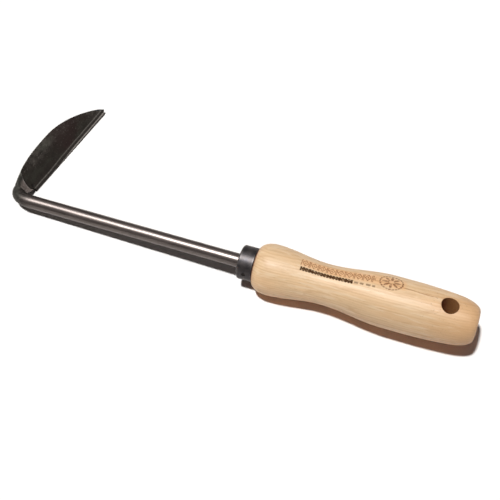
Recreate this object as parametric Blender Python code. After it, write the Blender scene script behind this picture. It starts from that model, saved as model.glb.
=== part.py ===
# Hand sickle: turned ash handle, steel ferrule cap with a pin, bent round
# shank with a forged flat end, half-moon blade and the weld under its root.
# Origin: centre of the flat butt face. -X runs towards the blade, which reaches
# out to +Y; +Z is up. The tool lies on the level plane z = FLOOR_Z on the
# handle's front swell and on the root corner of the cutting edge.
# Sizes are in mm and angles in degrees; "front" is the blade end.
import math

import bmesh
import bpy
from mathutils import Matrix, Vector

for old in list(bpy.data.objects):
    bpy.data.objects.remove(old, do_unlink=True)

MM = 0.001
GAP = 0.3             # clearance between neighbouring pieces
PITCH = 2.5           # nose-down lie of the tool axis

# Handle: X_ is a station on the tool axis, R_ a radius
HANDLE_LEN = 140.0    # wood seen behind the ferrule
R_FRONT = 16.45       # front swell
X_FRONT = -130.0
R_WAIST = 12.95       # grip waist
X_WAIST = -94.5
R_REAR = 16.65        # rear swell, level from A to B
X_REAR_A = -54.0
X_REAR_B = -44.0
REAR_TAPER = 3.0      # loss of radius from the rear swell to the butt
BUTT_ROUND = 15.5     # length of the rounded butt corner
BUTT_POWER = 2.5
R_BUTT_FLAT = 7.8     # flat butt face
R_SHOULDER = 10.8     # wood radius where it meets the ferrule
SHOULDER_POWER = 1.95
TENON_R = 9.3
TENON_LEN = 8.0
TENON_CHAMFER = 0.5
HOLE_X = -18.4        # hanging hole
HOLE_R = 5.4
HOLE_CHAMFER = 0.7
HOLE_OVERRUN = 3.0    # the cutter stands out of the wood by this much
HOLE_FLARE = 3.2      # and widens by this much past the chamfer
TURNED_STEPS = 56     # facets round the handle and the ferrule

# Ferrule and pin
FERRULE_R = 11.0
FERRULE_CAP = 2.1     # thickness of the front wall
FERRULE_FRONT = -(HANDLE_LEN + TENON_LEN + GAP + FERRULE_CAP)
FERRULE_ROUND = 1.2
FERRULE_CHAMFER = 0.3
FERRULE_WALL = 1.35
FERRULE_BORE_EXTRA = 0.12  # room round the shank beyond GAP
PIN_X = -145.2
PIN_R = 1.0
PIN_ELEV = 14.0       # above level, on the -Y side
PIN_IN = 5.6          # inner end of the pin, radius from the axis
PIN_SUNK = 0.1        # outer end, below the ferrule surface
PIN_CUT_OUT = 15.0    # outer end of the pin hole cutter

# Shank
ROD_R = 4.5
ROD_YAW = 0.5         # the shank leans this much towards the blade side
TANG_END = -78.0
TANG_BORE_FRONT = 5.0  # the bore cutter passes the tenon face by this much
TANG_BORE_REAR = 3.0   # and the end of the tang by this much
BEND_START = -303.2
BEND_REACH = 4.7      # reach of the bend past the straight part
NECK_REACH = 0.75 * BEND_REACH
# Rear end of the tang: (distance from its end, share of the rod radius)
TANG_TAPER = ((0.0, 0.62), (0.8, 0.84), (2.6, 1.0))
STRAIGHT_STEPS = 5
BEND_STEPS = 14
PADDLE_STEPS = 10
ROD_SEGMENTS = 48

# Blade frame: "along" runs from root to tip on the cutting edge, "across"
# from the edge to the back, "normal" up out of the plate's underside
EDGE_X = -305.57      # origin of the frame, on the cutting edge
EDGE_Y = 16.82
EDGE_LIFT = 0.03      # height of the origin above the level plane
EDGE_HEAD = 78.9      # heading of the cutting edge from +X
EDGE_RISE = 1.13      # the edge climbs from the root to the tip
BLADE_TILT = 35.0     # the back rises from the edge

# Blade: _U is a station along, _W a distance across
BLADE_W = 20.08
BLADE_BELLY_U = 34.37  # station of the greatest width
BELLY_TO_TIP = 50.03
TIP_POWER = 1.921     # fullness of the back's curve towards the tip
BELLY_TO_ROOT = 63.1
ROOT_POWER = 2.898    # and towards the root
BLADE_T = 2.0
EDGE_LAND = 0.3       # thickness left at the cutting edge
GRIND_W = 2.4
BACK_BEVEL = 0.3
BEVEL_CLEAR = 0.6     # bevelled edges lie this far behind the grind
ROOT_U = -3.4         # root end of the plate at ROOT_W, its furthest point
ROOT_W = 5.0
ROOT_SWEEP = 0.037    # sweep of the root end towards the back, per mm squared
ROOT_CORNER = 2.0     # step inwards beside the cutting edge
ROOT_CORNER_W = 3.6
BACK_CORNER_W = 17.15  # where the root end meets the back
TIP_CUT_U = 76.57     # the blunt tip starts here on the back
TIP_U = 80.6          # its furthest point, at TIP_W from the edge
TIP_W = 1.9
TIP_CORNER = 1.7      # the corner beside the edge is worn back by this much
TIP_CORNER_POWER = 1.6
TIP_STEPS = 4
BACK_STEPS = 28
ROOT_STEPS = 25

# Flat end of the shank, in the blade frame
PADDLE_W0 = 2.6       # its two sides where it meets the plate
PADDLE_W1 = 16.9
PADDLE_T = 2.7
PADDLE_THIN_POWER = 1.8
NECK_U = -9.6         # end of the bend
NECK_W = 9.0
NECK_N = 2.5

# Weld bead, from A to B across the joint
WELD_W_A = 4.6
WELD_W_B = 13.4
WELD_R = 1.1
WELD_END_SHARE = 0.35  # radius at the ends, as a share of WELD_R
WELD_RIPPLE = 0.05
WELD_FLATTEN = 1.5    # width to height
WELD_STEPS = 16
WELD_SEGMENTS = 16

pitch = math.radians(PITCH)
TOOL_AXIS = Vector((math.cos(pitch), 0.0, math.sin(pitch)))
TOOL_UP = Vector((-math.sin(pitch), 0.0, math.cos(pitch)))
TOOL_ROTATION = (0.0, -pitch, 0.0)


# ---- helpers -------------------------------------------------------------
def make_material(name, color, metallic, roughness):
    mat = bpy.data.materials.new(name)
    mat.use_nodes = True
    shader = mat.node_tree.nodes["Principled BSDF"]
    shader.inputs["Base Color"].default_value = (*color, 1.0)
    shader.inputs["Metallic"].default_value = metallic
    shader.inputs["Roughness"].default_value = roughness
    return mat


def link_mesh(bm, name):
    bmesh.ops.recalc_face_normals(bm, faces=bm.faces[:])
    mesh = bpy.data.meshes.new(name)
    bm.to_mesh(mesh)
    bm.free()
    ob = bpy.data.objects.new(name, mesh)
    bpy.context.scene.collection.objects.link(ob)
    return ob


def make_piece(bm, name, mat, sharp_angle=35.0):
    bmesh.ops.remove_doubles(bm, verts=bm.verts[:], dist=1e-7)
    ob = link_mesh(bm, name)
    ob.data.materials.append(mat)
    ob.data.shade_smooth()
    ob.data.set_sharp_from_angle(angle=math.radians(sharp_angle))
    return ob


def cut_away(ob, bm, name):
    """Subtract a hidden cutter, pitched with the tool, from ob."""
    cutter = link_mesh(bm, name)
    cutter.hide_render = True
    cutter.display_type = "WIRE"
    cutter.rotation_euler = TOOL_ROTATION
    mod = ob.modifiers.new("cut_" + name, "BOOLEAN")
    mod.operation = "DIFFERENCE"
    mod.solver = "EXACT"
    mod.object = cutter


def turn(profile, steps, axis=(1, 0, 0), centre_x=0.0, closed=False):
    """Turn a profile of (x, z) in mm about an axis through (centre_x, 0, 0)."""
    bm = bmesh.new()
    verts = [bm.verts.new((x * MM, 0.0, z * MM)) for x, z in profile]
    edges = [bm.edges.new(pair) for pair in zip(verts, verts[1:])]
    if closed:
        edges.append(bm.edges.new((verts[-1], verts[0])))
    bmesh.ops.spin(
        bm, geom=verts + edges, cent=(centre_x * MM, 0, 0), axis=axis,
        dvec=(0, 0, 0), angle=2 * math.pi, steps=steps, use_merge=True,
    )
    bmesh.ops.remove_doubles(bm, verts=bm.verts[:], dist=1e-7)
    return bm


def cylinder(start, end, radius, segments):
    bm = bmesh.new()
    run = end - start
    turned = run.to_track_quat("Z", "Y").to_matrix().to_4x4()
    bmesh.ops.create_cone(
        bm, cap_ends=True, segments=segments, radius1=radius * MM,
        radius2=radius * MM, depth=run.length * MM,
        matrix=Matrix.Translation((start + end) / 2 * MM) @ turned,
    )
    return bm


def circle_points(count):
    """Cosine and sine of evenly spaced angles round a circle."""
    angles = [2 * math.pi * i / count for i in range(count)]
    return [(math.cos(angle), math.sin(angle)) for angle in angles]


def ellipse_ring(bm, centre, side, up, count):
    """Ring of vertices; side and up are its half-axes in mm."""
    return [bm.verts.new((centre + side * cos + up * sin) * MM)
            for cos, sin in circle_points(count)]


def skin(bm, rings):
    """Join neighbouring rings with quads and cap the first one."""
    for ring, after in zip(rings, rings[1:]):
        for i in range(len(ring)):
            j = (i + 1) % len(ring)
            bm.faces.new((ring[i], ring[j], after[j], after[i]))
    bm.faces.new(rings[0])


def cosine_ease(share):
    return (1 - math.cos(math.pi * share)) / 2


def smoothstep(share):
    share = max(0.0, min(1.0, share))
    return share * share * (3 - 2 * share)


def bezier(start, control_a, control_b, end, share):
    rest = 1 - share
    return (start * rest ** 3 + control_a * (3 * rest * rest * share)
            + control_b * (3 * rest * share * share) + end * share ** 3)


def rod_point(x):
    """Centre of the straight shank at station x, in the unpitched tool frame."""
    return Vector((x, (-HANDLE_LEN - x) * math.tan(math.radians(ROD_YAW)), 0.0))


# ---- handle --------------------------------------------------------------
def handle_radius(x):
    if x < X_FRONT:
        share = min(1.0, (X_FRONT - x) / (HANDLE_LEN + X_FRONT))
        bulge = (1 - share ** SHOULDER_POWER) ** (1 / SHOULDER_POWER)
        return R_SHOULDER + (R_FRONT - R_SHOULDER) * bulge
    if x < X_WAIST:
        share = (x - X_WAIST) / (X_FRONT - X_WAIST)
        return R_WAIST + (R_FRONT - R_WAIST) * cosine_ease(share)
    if x < X_REAR_A:
        share = (x - X_WAIST) / (X_REAR_A - X_WAIST)
        return R_WAIST + (R_REAR - R_WAIST) * cosine_ease(share)
    if x < X_REAR_B:
        return R_REAR
    share = (x - X_REAR_B) / -X_REAR_B
    radius = R_REAR - REAR_TAPER * share * share
    if x > -BUTT_ROUND:
        share = (x + BUTT_ROUND) / BUTT_ROUND
        drop = 1 - (1 - share ** BUTT_POWER) ** (1 / BUTT_POWER)
        radius -= (R_REAR - REAR_TAPER - R_BUTT_FLAT) * drop
    return radius


# Level plane touched by the front swell of the pitched handle, sampled
# every 0.05 mm from 6 mm in front of the swell
FLOOR_Z = min(x * math.sin(pitch) - handle_radius(x) * math.cos(pitch)
              for x in [X_FRONT - 6.0 + 0.05 * i for i in range(400)])


def handle_profile():
    end_steps = 9
    grip_steps = 30
    # Stations are closer where the shoulder and the butt turn fastest
    stations = [X_FRONT - (HANDLE_LEN + X_FRONT) * math.cos(math.pi / 2 * i / end_steps)
                for i in range(end_steps)]
    stations += [X_FRONT + (-BUTT_ROUND - X_FRONT) * i / grip_steps
                 for i in range(grip_steps + 1)]
    stations += [-BUTT_ROUND + BUTT_ROUND * math.sin(math.pi / 2 * i / end_steps)
                 for i in range(1, end_steps + 1)]
    tenon_front = -HANDLE_LEN - TENON_LEN
    return [
        (tenon_front, 0.0),
        (tenon_front, TENON_R - TENON_CHAMFER),
        (tenon_front + TENON_CHAMFER, TENON_R),
        (-HANDLE_LEN, TENON_R),
        *[(x, handle_radius(x)) for x in stations],
        (0.0, 0.0),
    ]


def hanging_hole():
    """Spool turned about Z, flared at both ends to soften the rims."""
    surface = handle_radius(HOLE_X)
    flare_x = HOLE_X + (HOLE_R + HOLE_CHAMFER + HOLE_FLARE)
    top = surface + HOLE_OVERRUN
    throat = surface - HOLE_CHAMFER
    profile = [(HOLE_X, -top), (flare_x, -top), (HOLE_X + HOLE_R, -throat),
               (HOLE_X + HOLE_R, throat), (flare_x, top), (HOLE_X, top)]
    return turn(profile, steps=40, axis=(0, 0, 1), centre_x=HOLE_X)


def pin_body(radius, inner_end, outer_end):
    elev = math.radians(PIN_ELEV)
    outward = Vector((0.0, -math.cos(elev), math.sin(elev)))
    foot = Vector((PIN_X, 0.0, 0.0))
    return cylinder(foot + outward * inner_end, foot + outward * outer_end,
                    radius, segments=20)


def pin_hole():
    return pin_body(PIN_R + GAP, PIN_IN - GAP, PIN_CUT_OUT)


def build_handle(mat):
    handle = make_piece(turn(handle_profile(), TURNED_STEPS), "handle", mat)
    handle.rotation_euler = TOOL_ROTATION
    # The tang bore is in line with the leaning shank
    bore = cylinder(rod_point(-HANDLE_LEN - TENON_LEN - TANG_BORE_FRONT),
                    rod_point(TANG_END + TANG_BORE_REAR), ROD_R + GAP, segments=32)
    cut_away(handle, bore, "cut_tang")
    cut_away(handle, hanging_hole(), "cut_hanging_hole")
    cut_away(handle, pin_hole(), "cut_pin_wood")


# ---- ferrule and pin -----------------------------------------------------
def build_ferrule(mat):
    inner_r = FERRULE_R - FERRULE_WALL
    bore_r = ROD_R + GAP + FERRULE_BORE_EXTRA
    rear = -HANDLE_LEN - GAP
    round_steps = 6
    profile = [(FERRULE_FRONT, bore_r)]
    for i in range(round_steps, -1, -1):
        angle = math.pi / 2 * i / round_steps
        profile.append((FERRULE_FRONT + FERRULE_ROUND * (1 - math.sin(angle)),
                        FERRULE_R - FERRULE_ROUND + FERRULE_ROUND * math.cos(angle)))
    profile += [
        (rear - FERRULE_CHAMFER, FERRULE_R),
        (rear, FERRULE_R - FERRULE_CHAMFER),
        (rear, inner_r),
        (FERRULE_FRONT + FERRULE_CAP, inner_r),
        (FERRULE_FRONT + FERRULE_CAP, bore_r),
    ]
    ferrule = make_piece(turn(profile, TURNED_STEPS, closed=True), "ferrule", mat)
    ferrule.rotation_euler = TOOL_ROTATION
    cut_away(ferrule, pin_hole(), "cut_pin_steel")


def build_pin(mat):
    pin = make_piece(pin_body(PIN_R, PIN_IN, FERRULE_R - PIN_SUNK), "ferrule_pin", mat)
    pin.rotation_euler = TOOL_ROTATION


# ---- blade frame ---------------------------------------------------------
head = math.radians(EDGE_HEAD)
tilt = math.radians(BLADE_TILT)
rise = math.radians(EDGE_RISE)
EDGE_ORIGIN = Vector((EDGE_X, EDGE_Y, FLOOR_Z + EDGE_LIFT))
ALONG = Vector((math.cos(head) * math.cos(rise), math.sin(head) * math.cos(rise),
                math.sin(rise)))
LEVEL_SIDE = Vector((-math.sin(head), math.cos(head), 0.0))
ACROSS = LEVEL_SIDE * math.cos(tilt) + ALONG.cross(LEVEL_SIDE) * math.sin(tilt)
NORMAL = ALONG.cross(ACROSS)


def blade_point(along, across, normal):
    return EDGE_ORIGIN + ALONG * along + ACROSS * across + NORMAL * normal


def back_width(along):
    past = along - BLADE_BELLY_U
    if past > 0:
        return BLADE_W * (1 - (past / BELLY_TO_TIP) ** TIP_POWER)
    return BLADE_W * (1 - (-past / BELLY_TO_ROOT) ** ROOT_POWER)


def root_end(across):
    """Station along of the plate's root end."""
    if across >= ROOT_W:
        return ROOT_U + ROOT_SWEEP * (across - ROOT_W) ** 2
    return ROOT_U + ROOT_CORNER * cosine_ease(min(1.0, (ROOT_W - across) / ROOT_CORNER_W))


# ---- blade ---------------------------------------------------------------
def blade_outline():
    """(along, across) points: edge, blunt tip, back, root end."""
    outline = [(root_end(0.0), 0.0)]
    for i in range(TIP_STEPS + 1):
        share = i / TIP_STEPS
        outline.append((TIP_U - TIP_CORNER * (1 - share) ** TIP_CORNER_POWER, TIP_W * share))
    back_end = root_end(BACK_CORNER_W)
    for i in range(BACK_STEPS + 1):
        along = TIP_CUT_U + (back_end - TIP_CUT_U) * i / BACK_STEPS
        outline.append((along, back_width(along)))
    for i in range(ROOT_STEPS - 1, 0, -1):
        across = BACK_CORNER_W * i / ROOT_STEPS
        outline.append((root_end(across), across))
    return outline


def build_blade(mat):
    """Raise the outline to a plate, cut off the grind, soften the long rims."""
    bm = bmesh.new()
    face = bm.faces.new([bm.verts.new((along * MM, across * MM, 0.0))
                         for along, across in blade_outline()])
    raised = bmesh.ops.extrude_face_region(bm, geom=[face])["geom"]
    bmesh.ops.translate(bm, verts=[g for g in raised if isinstance(g, bmesh.types.BMVert)],
                        vec=(0, 0, BLADE_T * MM))
    bmesh.ops.recalc_face_normals(bm, faces=bm.faces[:])

    cut = bmesh.ops.bisect_plane(
        bm, geom=bm.verts[:] + bm.edges[:] + bm.faces[:], dist=1e-8,
        plane_co=(0.0, 0.0, EDGE_LAND * MM),
        plane_no=Vector((0.0, -(BLADE_T - EDGE_LAND), GRIND_W)).normalized(),
        clear_outer=True,
    )["geom_cut"]
    bmesh.ops.holes_fill(bm, edges=[g for g in cut if isinstance(g, bmesh.types.BMEdge)],
                         sides=0)
    bmesh.ops.recalc_face_normals(bm, faces=bm.faces[:])

    # Rim edges of the two flat faces, clear of the grind
    rims = [e for e in bm.edges if len(e.link_faces) == 2
            and min(v.co.y for v in e.verts) > (GRIND_W + BEVEL_CLEAR) * MM
            and e.calc_face_angle() > math.radians(60)
            and abs(e.verts[0].co.z - e.verts[1].co.z) < 1e-7]
    bmesh.ops.bevel(bm, geom=rims, offset=BACK_BEVEL * MM, segments=2, profile=0.5,
                    affect="EDGES", clamp_overlap=True)
    blade = make_piece(bm, "blade", mat, sharp_angle=25.0)
    blade.matrix_world = (Matrix.Translation(EDGE_ORIGIN * MM)
                          @ Matrix((ALONG, ACROSS, NORMAL)).transposed().to_4x4())


# ---- shank: straight rod, bend, neck and flat end, one lofted bar --------
def rod_world(x):
    point = rod_point(x)
    return TOOL_AXIS * point.x + Vector((0, point.y, 0))


def rod_rings(bm):
    """Round sections of the straight rod and the bend."""
    tang = rod_world(TANG_END)
    bend = rod_world(BEND_START)
    forward = (bend - tang).normalized()
    neck = blade_point(NECK_U, NECK_W, NECK_N)

    path = [(tang + forward * distance, scale) for distance, scale in TANG_TAPER]
    full = path[-1][0]
    path += [(full.lerp(bend, i / STRAIGHT_STEPS), 1.0) for i in range(1, STRAIGHT_STEPS + 1)]
    straight_count = len(path)
    path += [(bezier(bend, bend + forward * BEND_REACH, neck - ALONG * NECK_REACH,
                     neck, i / BEND_STEPS), 1.0) for i in range(1, BEND_STEPS + 1)]

    rings = []
    for i, (centre, scale) in enumerate(path):
        if i < straight_count:
            tangent = forward
        elif i == len(path) - 1:
            tangent = ALONG
        else:
            tangent = ((centre - path[i - 1][0]).normalized()
                       + (path[i + 1][0] - centre).normalized()).normalized()
        up = TOOL_UP.lerp(NORMAL, smoothstep((i - straight_count + 1) / BEND_STEPS))
        up = (up - tangent * up.dot(tangent)).normalized()
        side = up.cross(tangent).normalized()
        radius = ROD_R * scale
        rings.append(ellipse_ring(bm, centre, side * radius, up * radius, ROD_SEGMENTS))
    return rings


def paddle_ring(bm, share):
    """Section of the flat end: round at the neck, fanned out at the plate."""
    ease = smoothstep(share)
    back_side = NECK_W + ROD_R + (PADDLE_W1 - NECK_W - ROD_R) * share
    edge_side = NECK_W - ROD_R + (PADDLE_W0 - NECK_W + ROD_R) * ease
    half_t = ROD_R + (PADDLE_T / 2 - ROD_R) * (1 - (1 - share) ** PADDLE_THIN_POWER)
    middle = NECK_N + (PADDLE_T / 2 - NECK_N) * ease
    power = 2.0 + 4.0 * ease  # from an ellipse to a rounded bar
    ring = []
    for cos, sin in circle_points(ROD_SEGMENTS):
        across = (back_side + edge_side) / 2 + cos * (back_side - edge_side) / 2
        height = math.copysign(max(0.0, 1 - abs(cos) ** power) ** (1 / power), sin)
        along = NECK_U + (root_end(across) - GAP - NECK_U) * share
        ring.append(bm.verts.new(blade_point(along, across, middle + height * half_t) * MM))
    return ring


def build_shank(mat):
    bm = bmesh.new()
    rings = rod_rings(bm)
    rings += [paddle_ring(bm, i / PADDLE_STEPS) for i in range(1, PADDLE_STEPS + 1)]
    skin(bm, rings)
    # End face in strips, so that it follows the plate's root end
    last = rings[-1]
    for i in range(ROD_SEGMENTS // 2):
        strip = [last[i], last[i + 1], last[-i - 1], last[-i]]
        bm.faces.new(list(dict.fromkeys(strip)))
    make_piece(bm, "shank", mat, sharp_angle=40.0)


# ---- weld bead along the underside of the joint --------------------------
def build_weld(mat):
    bm = bmesh.new()
    rings = []
    for i in range(WELD_STEPS + 1):
        share = i / WELD_STEPS
        across = WELD_W_A + (WELD_W_B - WELD_W_A) * share
        swell = math.sqrt(max(0.0, 1 - (2 * share - 1) ** 4))
        radius = WELD_R * (WELD_END_SHARE + (1 - WELD_END_SHARE) * swell)
        radius *= 1 + WELD_RIPPLE * (-1) ** i
        centre = blade_point(root_end(across) - GAP / 2, across, -GAP - WELD_R)
        rings.append(ellipse_ring(bm, centre, ALONG * (WELD_FLATTEN * radius),
                                  NORMAL * radius, WELD_SEGMENTS))
    skin(bm, rings)
    bm.faces.new(rings[-1])
    make_piece(bm, "weld_bead", mat)


build_handle(make_material("ash_wood", color=(0.78, 0.60, 0.40), metallic=0.0, roughness=0.5))
build_ferrule(make_material("blackened_steel", color=(0.07, 0.07, 0.075), metallic=1.0,
                            roughness=0.45))
build_pin(make_material("pin_steel", color=(0.05, 0.05, 0.05), metallic=1.0, roughness=0.5))
build_blade(make_material("forged_steel", color=(0.09, 0.085, 0.08), metallic=1.0,
                          roughness=0.55))
build_shank(make_material("ground_steel", color=(0.55, 0.53, 0.52), metallic=1.0,
                          roughness=0.28))
build_weld(make_material("weld_steel", color=(0.20, 0.18, 0.17), metallic=1.0, roughness=0.6))
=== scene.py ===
import math

import bmesh
import bpy
import numpy as np
from mathutils import Matrix, Vector, noise


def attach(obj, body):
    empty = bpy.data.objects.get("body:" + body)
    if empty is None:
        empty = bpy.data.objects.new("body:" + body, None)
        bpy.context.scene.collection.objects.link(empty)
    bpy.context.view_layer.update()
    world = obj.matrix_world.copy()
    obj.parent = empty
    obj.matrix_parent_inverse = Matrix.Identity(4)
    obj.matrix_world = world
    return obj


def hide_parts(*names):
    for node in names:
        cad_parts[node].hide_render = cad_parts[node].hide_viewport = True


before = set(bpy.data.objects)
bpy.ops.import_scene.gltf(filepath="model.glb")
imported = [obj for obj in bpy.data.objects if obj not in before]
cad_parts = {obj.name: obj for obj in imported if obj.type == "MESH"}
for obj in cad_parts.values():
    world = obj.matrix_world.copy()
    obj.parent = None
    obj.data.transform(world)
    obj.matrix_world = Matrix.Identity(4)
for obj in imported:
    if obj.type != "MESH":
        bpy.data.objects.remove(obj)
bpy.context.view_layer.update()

MM = 0.001
scene = bpy.context.scene

# ==========================================================================
# Dimensions, mm and degrees
# ==========================================================================
GAP = 0.3
PITCH = 2.5
HANDLE_LEN = 140.0
R_FRONT, X_FRONT = 16.45, -130.0
R_WAIST, X_WAIST = 12.95, -94.5
R_REAR, X_REAR_A, X_REAR_B = 16.65, -54.0, -44.0
REAR_TAPER, BUTT_ROUND, R_BUTT_FLAT, R_SHOULDER = 3.0, 15.5, 7.8, 10.8
TENON_R, TENON_LEN = 9.3, 8.0
HOLE_X, HOLE_R, HOLE_LIP = -18.4, 5.35, 0.3
FERRULE_R, FERRULE_FRONT, FERRULE_ROUND = 11.0, -150.4, 1.2
FERRULE_WALL, FERRULE_CAP = 1.35, 2.1
PIN_X, PIN_R, PIN_ELEV, PIN_IN = -145.2, 1.0, 14.0, 5.6
ROD_R, ROD_YAW, TANG_END, BEND_START, BEND_R = 4.5, 0.5, -78.0, -303.2, 4.7
EDGE_X, EDGE_Y, EDGE_LIFT = -305.57, 16.82, 0.03
EDGE_HEAD, EDGE_RISE, BLADE_TILT = 78.9, 1.13, 35.0
BLADE_W, BLADE_BELLY_U = 20.08, 34.37
BELLY_TO_TIP, TIP_POWER, BELLY_TO_ROOT, ROOT_POWER = 50.03, 1.921, 63.1, 2.898
BACK_CORNER_W = 17.15
BLADE_T, EDGE_LAND, GRIND_W = 2.0, 0.3, 2.4
ROOT_U, ROOT_W, ROOT_SWEEP, ROOT_CORNER, ROOT_CORNER_W = -3.4, 5.0, 0.037, 2.0, 3.6
TIP_CUT_U, TIP_U, TIP_W, TIP_CORNER = 76.57, 80.6, 1.9, 1.7
PADDLE_W0, PADDLE_W1, PADDLE_T = 2.6, 16.9, 2.7
PIT_U, PIT_W = -0.6, 4.6
NECK_U, NECK_W, NECK_N = -9.6, 9.0, 2.5

p = math.radians(PITCH)
AXIS = Vector((math.cos(p), 0.0, math.sin(p)))
TOOL_UP = Vector((-math.sin(p), 0.0, math.cos(p)))
TOOL = np.array([[math.cos(p), 0.0, -math.sin(p)], [0.0, 1.0, 0.0], [math.sin(p), 0.0, math.cos(p)]])


def smooth(t):
    t = max(0.0, min(1.0, t))
    return t * t * (3 - 2 * t)


def handle_radius(x):
    if x < X_FRONT:
        k = min(1.0, (X_FRONT - x) / (HANDLE_LEN + X_FRONT))
        return R_SHOULDER + (R_FRONT - R_SHOULDER) * (1 - k ** 1.95) ** (1 / 1.95)
    if x < X_WAIST:
        k = (x - X_WAIST) / (X_FRONT - X_WAIST)
        return R_WAIST + (R_FRONT - R_WAIST) * (1 - math.cos(math.pi * k)) / 2
    if x < X_REAR_A:
        k = (x - X_WAIST) / (X_REAR_A - X_WAIST)
        return R_WAIST + (R_REAR - R_WAIST) * (1 - math.cos(math.pi * k)) / 2
    if x < X_REAR_B:
        return R_REAR
    k = (x - X_REAR_B) / -X_REAR_B
    r = R_REAR - REAR_TAPER * k * k
    if x > -BUTT_ROUND:
        j = min(1.0, (x + BUTT_ROUND) / BUTT_ROUND)
        r -= (R_REAR - REAR_TAPER - R_BUTT_FLAT) * (1 - (1 - j ** 2.5) ** (1 / 2.5))
    return r


FLOOR_Z = min(x * math.sin(p) - handle_radius(x) * math.cos(p)
              for x in [X_FRONT - 6.0 + 0.05 * i for i in range(400)])


def to_world(v):
    return AXIS * v.x + Vector((0, 1, 0)) * v.y + TOOL_UP * v.z


def rod_point(x):
    return Vector((x, (-HANDLE_LEN - x) * math.tan(math.radians(ROD_YAW)), 0.0))


h, tl, er = math.radians(EDGE_HEAD), math.radians(BLADE_TILT), math.radians(EDGE_RISE)
E0 = Vector((EDGE_X, EDGE_Y, FLOOR_Z + EDGE_LIFT))
DU = Vector((math.cos(h) * math.cos(er), math.sin(h) * math.cos(er), math.sin(er)))
SIDE = Vector((-math.sin(h), math.cos(h), 0.0))
DW = SIDE * math.cos(tl) + DU.cross(SIDE) * math.sin(tl)
DN = DU.cross(DW)
BLADE = np.array([DU, DW, DN])      # rows


def bpt(u, w, n):
    return E0 + DU * u + DW * w + DN * n


def back_width(u):
    if u > BLADE_BELLY_U:
        return BLADE_W * (1 - ((u - BLADE_BELLY_U) / BELLY_TO_TIP) ** TIP_POWER)
    return BLADE_W * (1 - ((BLADE_BELLY_U - u) / BELLY_TO_ROOT) ** ROOT_POWER)


def root_u(w):
    if w >= ROOT_W:
        return ROOT_U + ROOT_SWEEP * (w - ROOT_W) ** 2
    d = min(1.0, (ROOT_W - w) / ROOT_CORNER_W)
    return ROOT_U + ROOT_CORNER * (1 - math.cos(math.pi * d)) / 2


def tip_u(w):
    if w >= TIP_W:
        return TIP_U - (TIP_U - TIP_CUT_U) * (w - TIP_W) / (back_width(TIP_CUT_U) - TIP_W)
    return TIP_U - TIP_CORNER * (1 - w / TIP_W) ** 1.6


# ==========================================================================
# Mesh helpers
# ==========================================================================
def build(name, verts, faces, mat, angle=32.0):
    """verts in mm in the row frame, (n, 3)."""
    me = bpy.data.meshes.new(name)
    me.from_pydata((np.asarray(verts, float) * MM).tolist(), [], faces)
    bm = bmesh.new()
    bm.from_mesh(me)
    bmesh.ops.remove_doubles(bm, verts=bm.verts[:], dist=2e-7)
    bmesh.ops.recalc_face_normals(bm, faces=bm.faces[:])
    bm.to_mesh(me)
    bm.free()
    ob = bpy.data.objects.new(name, me)
    scene.collection.objects.link(ob)
    if mat is not None:
        me.materials.append(mat)
    me.shade_smooth()
    me.set_sharp_from_angle(angle=math.radians(angle))
    return ob


def coords(ob):
    co = np.empty(len(ob.data.vertices) * 3, np.float32)
    ob.data.vertices.foreach_get("co", co)
    return co.reshape(-1, 3).astype(float) / MM


def set_coords(ob, co):
    ob.data.vertices.foreach_set("co", (np.asarray(co) * MM).astype(np.float32).ravel())
    ob.data.update()


def vec_attr(ob, name, values):
    a = ob.data.attributes.get(name) or ob.data.attributes.new(name, "FLOAT_VECTOR", "POINT")
    a.data.foreach_set("vector", np.asarray(values, np.float32).ravel())


def rings_to_faces(nr, ns, closed_rings=False):
    f = []
    last = nr if closed_rings else nr - 1
    for i in range(last):
        j = (i + 1) % nr
        for s in range(ns):
            t = (s + 1) % ns
            f.append((i * ns + s, i * ns + t, j * ns + t, j * ns + s))
    return f


def lathe(profile, steps, closed, cap=True):
    """profile of (x, r) turned about local X, in mm; the tool frame."""
    a = np.arange(steps) * 2 * math.pi / steps
    pr = np.array(profile, float)
    v = np.empty((len(pr), steps, 3))
    v[:, :, 0] = pr[:, 0:1]
    v[:, :, 1] = pr[:, 1:2] * np.cos(a)
    v[:, :, 2] = pr[:, 1:2] * np.sin(a)
    f = rings_to_faces(len(pr), steps, closed)
    if not closed and cap:
        f.append(tuple(range(steps)))
        f.append(tuple((len(pr) - 1) * steps + s for s in range(steps)))
    return v.reshape(-1, 3), f


def tool_to_row(v):
    """(n, 3) in the tool frame to the row frame."""
    return np.asarray(v) @ TOOL.T


def row_to_tool(v):
    return np.asarray(v) @ TOOL


def cut(ob, tool):
    m = ob.modifiers.new("cut", "BOOLEAN")
    m.operation = "DIFFERENCE"
    m.solver = "EXACT"
    m.object = tool


def bake_modifiers(ob):
    dg = bpy.context.evaluated_depsgraph_get()
    me = bpy.data.meshes.new_from_object(ob.evaluated_get(dg), depsgraph=dg)
    ob.modifiers.clear()
    old = ob.data
    ob.data = me
    bpy.data.meshes.remove(old)


def drop(*obs):
    for o in obs:
        bpy.data.objects.remove(o, do_unlink=True)


def fbm(v, scale, octaves=4, seed=(0.0, 0.0, 0.0)):
    q = Vector((v[0] * scale + seed[0], v[1] * scale + seed[1], v[2] * scale + seed[2]))
    return noise.fractal(q, 1.0, 2.0, octaves)


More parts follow.
